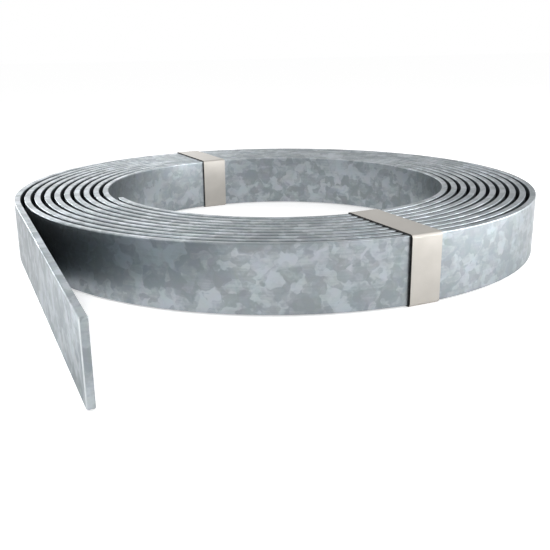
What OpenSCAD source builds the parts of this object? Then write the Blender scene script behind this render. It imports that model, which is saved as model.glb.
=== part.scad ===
// Coil of galvanised flat steel strip lying on its edges, tied by two strapping bands.
// Origin on the coil axis at floor level, +Z up, the free end runs straight along -Y.

/* [Strip] */
// Width of the flat strip, which is the height of the coil
strip_w = 30; // [16:1:50]
// Thickness of the strip
strip_t = 3; // [2:0.1:5]
// Rounding of the four long rolled edges
edge_r = 0.5; // [0.2:0.1:0.9]

/* [Winding] */
// Whole turns from the inner end to the point where the free end leaves
turns = 10; // [3:1:20]
// Clear space between one turn and the next
turn_gap = 2; // [0.5:0.1:6]
// Distance from the coil axis to the inside of the strip where the winding begins
start_r = 88.5; // [60:0.5:200]
// Angle by which the cut inner end stops short of that place
inner_trim = 2.5; // [0:0.5:90]
// Length of the straight free end
tail_l = 178; // [40:1:400]

/* [Bands] */
// Width of the strapping
band_w = 15; // [8:0.5:32]
// Thickness of the strapping
band_t = 0.6; // [0.4:0.1:1.2]
// Space between the upright legs of a band and the turns they face
band_gap = 0.5; // [0.1:0.1:0.8]
// Direction of the front band about the coil axis, counted from +X
front_angle = 272.6; // [230:0.2:310]
// Direction of the rear band about the coil axis, counted from +X
rear_angle = 93.8; // [50:0.2:130]

/* [Hidden] */
$fn = 96;
pitch = strip_t + turn_gap;
// The turns are half circles struck from two centres, this far to each side of the axis
centre_shift = pitch / 4;
half_turns = 2 * turns;
// The strip lies on the lower legs of the bands
strip_z = band_t;
// Inside bend of a band at its four corners, which clears the rounded edge of the strip
bend_r = edge_r + band_gap;

// Inner radius of one half turn, counted from the inner end
function half_r(k) = start_r + centre_shift + k * pitch / 2;

// Where the centre of one half turn lies on X
function half_x(k) = k % 2 == 0 ? centre_shift : -centre_shift;

// Sweep of one half turn from +X, to the front for an even one and to the back for an odd one
function half_sweep(k) = k == 0 ? inner_trim - 180 : k % 2 == 0 ? -180 : 180;

// The first half turn that passes a direction, and the last one
function first_half(a) = (a + 180) % 360 < 180 ? 0 : 1;
function last_half(a) = half_turns - 2 + first_half(a);

// Distance from the axis, in a direction, to a circle struck from a half turn's centre
function reach(k, r, a) = half_x(k) * cos(a) + sqrt(pow(r, 2) - pow(half_x(k) * sin(a), 2));

// Inside of the first turn, as far out as a flat leg of the band's width can stand in it
function bore_at(a) = sqrt(pow(reach(first_half(a), half_r(first_half(a)), a), 2) - pow(band_w / 2, 2));

// Outside of the last turn
function rim_at(a) = reach(last_half(a), half_r(last_half(a)) + strip_t, a);

module rounded(w, h, r) {
    translate([r, 0]) square([w - 2 * r, h]);
    translate([0, r]) square([w, h - 2 * r]);
    for (x = [r, w - r], y = [r, h - r]) translate([x, y]) circle(r);
}

module strip_section() {
    rounded(strip_t, strip_w, edge_r);
}

module half_turn(k) {
    translate([half_x(k), 0, strip_z])
        rotate_extrude(angle = half_sweep(k)) translate([half_r(k), 0]) strip_section();
}

module free_end() {
    translate([-start_r - turns * pitch - strip_t, 0, strip_z])
        rotate([90, 0, 0]) linear_extrude(height = tail_l) strip_section();
}

module steel_strip() {
    color("silver") union() {
        union() for (k = [0 : 2 : half_turns - 2]) half_turn(k);
        union() for (k = [1 : 2 : half_turns - 1]) half_turn(k);
        free_end();
    }
}

module band(a) {
    inner = bore_at(a) - band_gap;
    span = rim_at(a) + band_gap - inner;
    rotate([0, 0, a]) rotate([90, 0, 0]) linear_extrude(height = band_w, center = true)
        translate([inner, strip_z]) difference() {
            translate([-band_t, -band_t]) rounded(span + 2 * band_t, strip_w + 2 * band_t, bend_r + band_t);
            rounded(span, strip_w, bend_r);
        }
}

module front_band() {
    color("tan") band(front_angle);
}

module rear_band() {
    color("tan") band(rear_angle);
}

steel_strip();
front_band();
rear_band();
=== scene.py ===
import math

import bmesh
import bpy
from mathutils import Matrix, Vector


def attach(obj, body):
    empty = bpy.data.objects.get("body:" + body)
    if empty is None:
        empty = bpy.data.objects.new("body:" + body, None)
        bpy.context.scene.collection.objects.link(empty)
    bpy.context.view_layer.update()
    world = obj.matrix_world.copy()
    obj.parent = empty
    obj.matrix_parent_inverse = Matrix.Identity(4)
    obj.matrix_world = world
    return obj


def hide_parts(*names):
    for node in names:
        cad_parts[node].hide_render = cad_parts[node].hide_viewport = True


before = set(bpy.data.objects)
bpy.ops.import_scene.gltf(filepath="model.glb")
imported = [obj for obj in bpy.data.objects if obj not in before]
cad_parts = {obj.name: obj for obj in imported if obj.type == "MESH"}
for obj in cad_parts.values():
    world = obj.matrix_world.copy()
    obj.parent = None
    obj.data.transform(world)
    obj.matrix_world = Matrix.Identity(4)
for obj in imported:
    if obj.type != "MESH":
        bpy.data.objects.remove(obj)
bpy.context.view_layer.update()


# The strip is one length of hot-dip galvanised flat steel with rolled, rounded edges.
# It was wound flat upon flat into open turns that stand on their edges, and sheared square
# at both ends. Its outer end runs out of the coil as a straight free end.
strip_width = 0.030
strip_thickness = 0.003
edge_round = 0.0005
turn_gap = 0.002
turns = 10
start_radius = 0.0885
inner_trim = math.radians(2.5)
free_end_length = 0.178
strip_underside = 0.0006
steps_per_half_turn = 60
shear_round = 0.0004

pitch = strip_thickness + turn_gap
# The turns are half circles struck from two centres, this far to each side of the axis
centre_shift = pitch / 4
outer_flat = -start_radius - turns * pitch - strip_thickness
# Where the flats are scored beside the rounds, so that they shade as flats
edge_margin = 1.8 * edge_round


def rounded_section(across, height, corner, steps):
    section = bmesh.new()
    bmesh.ops.create_grid(section, x_segments=1, y_segments=1, size=0.5)
    bmesh.ops.scale(section, vec=(across, height, 1), verts=section.verts)
    bmesh.ops.rotate(section, cent=(0, 0, 0), matrix=Matrix.Rotation(math.pi / 2, 3, "X"),
                     verts=section.verts)
    bmesh.ops.bevel(section, geom=section.verts[:], offset=corner, offset_type="OFFSET",
                    affect="VERTICES", segments=steps, profile=0.5, material=-1, clamp_overlap=True)
    return section


def score_both_sides(section, along, reach):
    for side in (-1, 1):
        bmesh.ops.bisect_plane(section, geom=section.verts[:] + section.edges[:] + section.faces[:],
                               plane_co=along * side * reach, plane_no=along)


def draw_out(shape, geom, way):
    drawn = bmesh.ops.extrude_face_region(shape, geom=geom)["geom"]
    bmesh.ops.translate(shape, vec=way,
                        verts=[part for part in drawn if isinstance(part, bmesh.types.BMVert)])
    return [part for part in drawn if isinstance(part, bmesh.types.BMFace)]


def make_object(name, shape):
    mesh = bpy.data.meshes.new(name)
    shape.to_mesh(mesh)
    shape.free()
    made = bpy.data.objects.new(name, mesh)
    bpy.context.collection.objects.link(made)
    return made


strip = rounded_section(strip_thickness, strip_width, edge_round, steps=4)
score_both_sides(strip, Vector((1, 0, 0)), strip_thickness / 2 - edge_margin)
score_both_sides(strip, Vector((0, 0, 1)), strip_width / 2 - edge_margin)
bmesh.ops.translate(strip, vec=(-start_radius - strip_thickness / 2, 0, strip_underside + strip_width / 2),
                    verts=strip.verts)
bmesh.ops.rotate(strip, cent=(centre_shift, 0, 0), matrix=Matrix.Rotation(inner_trim, 3, "Z"),
                 verts=strip.verts)
inner_end = strip.faces[:]
leading = strip.verts[:] + strip.edges[:] + strip.faces[:]
for half in range(2 * turns):
    centre = centre_shift if half % 2 == 0 else -centre_shift
    sweep = math.pi - (inner_trim if half == 0 else 0)
    wound = bmesh.ops.spin(strip, geom=leading, cent=(centre, 0, 0), axis=(0, 0, 1), dvec=(0, 0, 0),
                           angle=sweep, steps=steps_per_half_turn, use_merge=False,
                           use_normal_flip=False, use_duplicate=False)
    leading = wound["geom_last"]
outer_end = draw_out(strip, leading, (0, -free_end_length, 0))
for end in (inner_end, outer_end):
    cut = bmesh.ops.dissolve_faces(strip, faces=end, use_verts=False)["region"][0]
    eased = bmesh.ops.bevel(strip, geom=cut.edges[:], offset=shear_round, offset_type="OFFSET",
                            affect="EDGES", segments=2, profile=0.5, material=-1, clamp_overlap=True)
bmesh.ops.recalc_face_normals(strip, faces=strip.faces)
for face in strip.faces:
    face.smooth = len(face.verts) == 4
# The corner that was eased last, on the free end's outer flat, takes the painted highlight
for face in eased["faces"]:
    if face.calc_center_median().x < outer_flat + shear_round:
        face.material_index = 1
steel_strip = make_object("steel_strip_wound", strip)


def add_node(tree, kind, **settings):
    node = tree.nodes.new(kind)
    for name, value in settings.items():
        setattr(node, name, value)
    return node


def add_noise(tree, vector, scale, detail=2):
    noise = add_node(tree, "ShaderNodeTexNoise")
    noise.inputs["Scale"].default_value = scale
    noise.inputs["Detail"].default_value = detail
    tree.links.new(vector, noise.inputs["Vector"])
    return noise


def add_ramp(tree, value, first, last, between=()):
    ramp = add_node(tree, "ShaderNodeValToRGB")
    shades = ramp.color_ramp.elements
    for shade, (position, colour) in ((shades[0], first), (shades[1], last)):
        shade.position = position
        shade.color = (*colour, 1)
    for position, colour in between:
        shades.new(position).color = (*colour, 1)
    tree.links.new(value, ramp.inputs["Fac"])
    return ramp.outputs["Color"]


def start_material(name):
    made = bpy.data.materials.new(name)
    made.use_nodes = True
    tree = made.node_tree
    tree.nodes.clear()
    shader = add_node(tree, "ShaderNodeBsdfPrincipled")
    output = add_node(tree, "ShaderNodeOutputMaterial")
    tree.links.new(shader.outputs["BSDF"], output.inputs["Surface"])
    spot = add_node(tree, "ShaderNodeTexCoord").outputs["Object"]
    return made, tree, shader, spot


# The zinc froze in flat crystals a few millimetres across, each with its own tone,
# so the surface is a cloudy patchwork of paler bluish leaves on a darker grey.
zinc, tree, shader, spot = start_material("zinc_spangle")
shader.inputs["Metallic"].default_value = 1.0
shader.inputs["Specular Tint"].default_value = (0.65, 0.65, 0.65, 1)
wander = add_noise(tree, spot, scale=150)
warped = add_node(tree, "ShaderNodeVectorMath", operation="MULTIPLY_ADD")
warped.inputs[1].default_value = (0.010, 0.010, 0.006)
tree.links.new(wander.outputs["Color"], warped.inputs[0])
tree.links.new(spot, warped.inputs[2])
cloud = add_noise(tree, spot, scale=60)
grain = add_noise(tree, spot, scale=700, detail=4)
stretched = add_node(tree, "ShaderNodeMapping")
stretched.inputs["Scale"].default_value = (60, 60, 1200)
tree.links.new(spot, stretched.inputs["Vector"])
rolled = add_noise(tree, stretched.outputs["Vector"], scale=1, detail=3)
shares = [(cloud.outputs["Fac"], 0.42), (grain.outputs["Fac"], 0.12), (rolled.outputs["Fac"], 0.18)]
for scale, share in ((130, 0.27), (250, 0.27), (520, 0.08)):
    flakes = add_node(tree, "ShaderNodeTexVoronoi", voronoi_dimensions="3D", feature="SMOOTH_F1")
    flakes.inputs["Scale"].default_value = scale
    flakes.inputs["Smoothness"].default_value = 0.2
    tree.links.new(warped.outputs["Vector"], flakes.inputs["Vector"])
    tone = add_node(tree, "ShaderNodeSeparateColor")
    tree.links.new(flakes.outputs["Color"], tone.inputs["Color"])
    shares.append((tone.outputs["Red"], share))
crystal = None
for value, share in shares:
    part = add_node(tree, "ShaderNodeMath", operation="MULTIPLY_ADD")
    part.inputs[1].default_value = share
    part.inputs[2].default_value = 0
    tree.links.new(value, part.inputs[0])
    if crystal:
        tree.links.new(crystal, part.inputs[2])
    crystal = part.outputs["Value"]
leaf = add_ramp(tree, crystal, first=(0.48, (0.241, 0.270, 0.284)), last=(0.86, (0.373, 0.409, 0.435)),
                between=((0.60, (0.265, 0.296, 0.311)), (0.67, (0.292, 0.324, 0.339)),
                         (0.74, (0.334, 0.368, 0.388))))
hue = add_noise(tree, warped.outputs["Vector"], scale=190)
cast = add_node(tree, "ShaderNodeVectorMath", operation="MULTIPLY_ADD")
cast.inputs[1].default_value = (0.14, 0.11, 0.14)
cast.inputs[2].default_value = (0.93, 0.938, 0.93)
tree.links.new(hue.outputs["Color"], cast.inputs[0])
tinted = add_node(tree, "ShaderNodeVectorMath", operation="MULTIPLY")
tree.links.new(leaf, tinted.inputs[0])
tree.links.new(cast.outputs["Vector"], tinted.inputs[1])
tree.links.new(tinted.outputs["Vector"], shader.inputs["Base Color"])
gloss = add_node(tree, "ShaderNodeMapRange")
gloss.inputs["From Min"].default_value = 0.5
gloss.inputs["From Max"].default_value = 0.85
gloss.inputs["To Min"].default_value = 0.40
gloss.inputs["To Max"].default_value = 0.31
tree.links.new(crystal, gloss.inputs["Value"])
tree.links.new(gloss.outputs["Result"], shader.inputs["Roughness"])
relief = add_node(tree, "ShaderNodeMix", data_type="FLOAT")
relief.inputs[0].default_value = 0.35
tree.links.new(grain.outputs["Fac"], relief.inputs[2])
tree.links.new(rolled.outputs["Fac"], relief.inputs[3])
skin = add_node(tree, "ShaderNodeBump")
skin.inputs["Strength"].default_value = 0.10
skin.inputs["Distance"].default_value = 0.0002
tree.links.new(relief.outputs[0], skin.inputs["Height"])
tree.links.new(skin.outputs["Normal"], shader.inputs["Normal"])

# Painted highlight: the free end's outer sheared corner gets a paler, glossier metal that stands in for the
# light line this corner catches.
sheared_edge_highlight, tree, shader, spot = start_material("sheared_edge_painted_highlight")
shader.inputs["Metallic"].default_value = 1.0
shader.inputs["Roughness"].default_value = 0.3
highlight_mottle = add_noise(tree, spot, scale=300)
highlight_colour = add_ramp(tree, highlight_mottle.outputs["Fac"], first=(0.3, (0.40, 0.43, 0.445)), last=(0.7, (0.54, 0.57, 0.585)))
tree.links.new(highlight_colour, shader.inputs["Base Color"])
steel_strip.data.materials.append(zinc)
# The second slot holds the painted highlight on the free end's outer sheared corner.
steel_strip.data.materials.append(sheared_edge_highlight)
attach(steel_strip, "root")
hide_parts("steel_strip")


# Two loops of flat steel strapping tie the turns together, one at the front and one
# across from it. Each was pulled tight round the section, so it lies on the turns'
# edges, stands straight up inside and outside, and bends sharply at four corners.
band_width = 0.015
band_thickness = 0.0006
band_gap = 0.0005
bend_radius = edge_round + band_gap + band_thickness
bend_margin = 1.6 * bend_radius
leg_middle = 0.005
front_angle = math.radians(272.6)
rear_angle = math.radians(93.8)


def make_band(name, angle, first_half, last_half):
    def reach(half, radius):
        shift = centre_shift if half % 2 == 0 else -centre_shift
        return shift * math.cos(angle) + math.sqrt(radius ** 2 - (shift * math.sin(angle)) ** 2)

    bore = reach(first_half, start_radius + centre_shift + first_half * pitch / 2)
    inside = math.sqrt(bore ** 2 - (band_width / 2) ** 2) - band_gap - band_thickness
    rim = reach(last_half, start_radius + centre_shift + last_half * pitch / 2 + strip_thickness)
    outside = rim + band_gap + band_thickness
    height = strip_width + 2 * band_thickness
    loop = rounded_section(outside - inside, height, bend_radius, steps=6)
    bmesh.ops.inset_region(loop, faces=loop.faces[:], thickness=band_thickness, use_even_offset=True,
                           use_boundary=True)
    bmesh.ops.delete(loop, geom=[f for f in loop.faces if len(f.verts) > 4], context="FACES_ONLY")
    score_both_sides(loop, Vector((1, 0, 0)), (outside - inside) / 2 - bend_margin)
    score_both_sides(loop, Vector((0, 0, 1)), leg_middle)
    bmesh.ops.translate(loop, vec=((inside + outside) / 2, band_width / 2, height / 2), verts=loop.verts)
    slit = loop.faces[:]
    slit += draw_out(loop, slit, (0, -band_width, 0))
    bmesh.ops.rotate(loop, cent=(0, 0, 0), matrix=Matrix.Rotation(angle, 3, "Z"), verts=loop.verts)
    bmesh.ops.recalc_face_normals(loop, faces=loop.faces)
    for face in loop.faces:
        face.smooth = True
    # The slit faces take the second material, which is painted shade.
    for face in slit:
        face.material_index = 1
        for edge in face.edges:
            edge.smooth = False
    return make_object(name, loop)


front_band = make_band("front_band_strap", front_angle, 0, 2 * turns - 2)
rear_band = make_band("rear_band_strap", rear_angle, 1, 2 * turns - 1)

# The strapping is satin steel with a warm lacquered tone, and its slit edges are coloured near black as
# painted shade.
strapping, tree, shader, spot = start_material("strapping_lacquer")
shader.inputs["Metallic"].default_value = 0.75
shader.inputs["Specular Tint"].default_value = (0.55, 0.55, 0.55, 1)
cloud = add_noise(tree, spot, scale=120, detail=5)
warm = add_ramp(tree, cloud.outputs["Fac"], first=(0.3, (0.420, 0.400, 0.370)),
                last=(0.7, (0.465, 0.444, 0.412)))
tree.links.new(warm, shader.inputs["Base Color"])
sheen = add_node(tree, "ShaderNodeMapRange")
sheen.inputs["To Min"].default_value = 0.36
sheen.inputs["To Max"].default_value = 0.46
tree.links.new(cloud.outputs["Fac"], sheen.inputs["Value"])
tree.links.new(sheen.outputs["Result"], shader.inputs["Roughness"])

# Painted shade: the slit edges are coloured near black for the shade and shadow in the narrow gap beside
# each band.
edge_painted_shade, tree, shader, spot = start_material("strapping_edge_painted_shade")
shader.inputs["Metallic"].default_value = 0.2
shader.inputs["Roughness"].default_value = 0.6
shade_mottle = add_noise(tree, spot, scale=700)
painted_shade_colour = add_ramp(tree, shade_mottle.outputs["Fac"], first=(0, (0.004, 0.004, 0.004)), last=(1, (0.02, 0.018, 0.016)))
tree.links.new(painted_shade_colour, shader.inputs["Base Color"])
for band, node in ((front_band, "front_band"), (rear_band, "rear_band")):
    band.data.materials.append(strapping)
    band.data.materials.append(edge_painted_shade)
    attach(band, "root")
    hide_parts(node)


# The studio: a white floor and a white surround that the zinc reflects, soft lamps at the
# right and the back, and two small ones at the left, for the free end and the floor by it.
# The camera stands as in the photo.
floor_reach = 4
ground = bmesh.new()
bmesh.ops.create_grid(ground, x_segments=1, y_segments=1, size=floor_reach)
floor = make_object("studio_floor", ground)


def seen_plainly(tree):
    path = add_node(tree, "ShaderNodeLightPath")
    seen = path.outputs["Is Camera Ray"]
    for ray in ("Is Glossy Ray", "Is Transmission Ray"):
        either = add_node(tree, "ShaderNodeMath", operation="MAXIMUM")
        tree.links.new(seen, either.inputs[0])
        tree.links.new(path.outputs[ray], either.inputs[1])
        seen = either.outputs["Value"]
    return seen


white = bpy.data.materials.new("studio_white")
white.use_nodes = True
tree = white.node_tree
tree.nodes.clear()
matt = add_node(tree, "ShaderNodeBsdfDiffuse")
matt.inputs["Color"].default_value = (0.85, 0.85, 0.85, 1)
lift = add_node(tree, "ShaderNodeEmission")
lift.inputs["Color"].default_value = (1, 1, 1, 1)
glow = add_node(tree, "ShaderNodeMath", operation="MULTIPLY")
glow.inputs[1].default_value = 0.48
tree.links.new(seen_plainly(tree), glow.inputs[0])
tree.links.new(glow.outputs["Value"], lift.inputs["Strength"])
total = add_node(tree, "ShaderNodeAddShader")
tree.links.new(matt.outputs["BSDF"], total.inputs[0])
tree.links.new(lift.outputs["Emission"], total.inputs[1])
output = add_node(tree, "ShaderNodeOutputMaterial")
tree.links.new(total.outputs["Shader"], output.inputs["Surface"])
floor.data.materials.append(white)

world = bpy.data.worlds.new("studio_surround")
bpy.context.scene.world = world
world.use_nodes = True
tree = world.node_tree
tree.nodes.clear()
ambient = add_node(tree, "ShaderNodeBackground")
ambient.inputs["Color"].default_value = (1, 1, 1, 1)
ambient.inputs["Strength"].default_value = 0.60
backdrop = add_node(tree, "ShaderNodeBackground")
backdrop.inputs["Color"].default_value = (1, 1, 1, 1)
backdrop.inputs["Strength"].default_value = 1.0
choose = add_node(tree, "ShaderNodeMixShader")
tree.links.new(seen_plainly(tree), choose.inputs["Fac"])
tree.links.new(ambient.outputs["Background"], choose.inputs[1])
tree.links.new(backdrop.outputs["Background"], choose.inputs[2])
output = add_node(tree, "ShaderNodeOutputWorld")
tree.links.new(choose.outputs["Shader"], output.inputs["Surface"])

# The photo looks at the coil from 23.6 degrees left of its front, 17 degrees down.
swing = math.radians(-23.6)
camera_distance = 0.42971
camera_height = 0.10733
camera_pan = 0.00453
camera_tilt = 0.29724
camera_roll = -0.0107


def studio_point(turn, distance, height):
    return Matrix.Rotation(swing + math.radians(turn), 3, "Z") @ Vector((0, -distance, height))


def place_lamp(name, place, toward, width, depth, power, spread=180):
    lamp = bpy.data.lights.new(name, "AREA")
    lamp.shape = "ELLIPSE"
    lamp.size = width
    lamp.size_y = depth
    lamp.energy = power
    lamp.spread = math.radians(spread)
    holder = bpy.data.objects.new(name, lamp)
    holder.location = studio_point(*place)
    aim = studio_point(*toward) - holder.location
    holder.rotation_euler = aim.to_track_quat("-Z", "Y").to_euler()
    holder.visible_camera = False
    bpy.context.collection.objects.link(holder)


# Each lamp's place and aim is its turn from the camera's side in degrees, its distance and its height.
place_lamp("right_low_lamp", place=(72, 0.42, 0.06), toward=(72, 0.20, 0),
           width=0.29, depth=0.068, power=0.73)
place_lamp("right_side_lamp", place=(95, 0.50, 0.14), toward=(95, 0.10, 0),
           width=0.56, depth=0.23, power=1.16)
place_lamp("right_high_lamp", place=(60, 0.60, 0.60), toward=(60, 0.05, 0),
           width=0.56, depth=0.45, power=1.5)
place_lamp("back_lamp", place=(180, 0.96, 0.30), toward=(180, 0, 0),
           width=0.79, depth=0.56, power=0.38)
place_lamp("back_left_lamp", place=(-155, 0.96, 0.30), toward=(-155, 0, 0),
           width=0.7, depth=0.7, power=1.82)
place_lamp("free_end_lamp", place=(-108, 0.42, 0.06), toward=(-28, 0.18, 0.02),
           width=0.29, depth=0.068, power=0.10, spread=60)
place_lamp("left_floor_lamp", place=(-48, 0.29, 0.22), toward=(-48, 0.29, 0),
           width=0.12, depth=0.12, power=0.27, spread=90)

camera_data = bpy.data.cameras.new("photo_camera")
camera_data.sensor_width = 36
camera_data.lens = 50.28
camera_data.clip_start = 0.01
camera = bpy.data.objects.new("photo_camera", camera_data)
camera.matrix_world = (Matrix.Rotation(swing, 4, "Z")
                       @ Matrix.Translation((0, -camera_distance, camera_height))
                       @ Matrix.Rotation(camera_pan, 4, "Z")
                       @ Matrix.Rotation(math.pi / 2 - camera_tilt, 4, "X")
                       @ Matrix.Rotation(camera_roll, 4, "Z"))
bpy.context.collection.objects.link(camera)
bpy.context.scene.camera = camera
bpy.context.scene.view_settings.view_transform = "Standard"
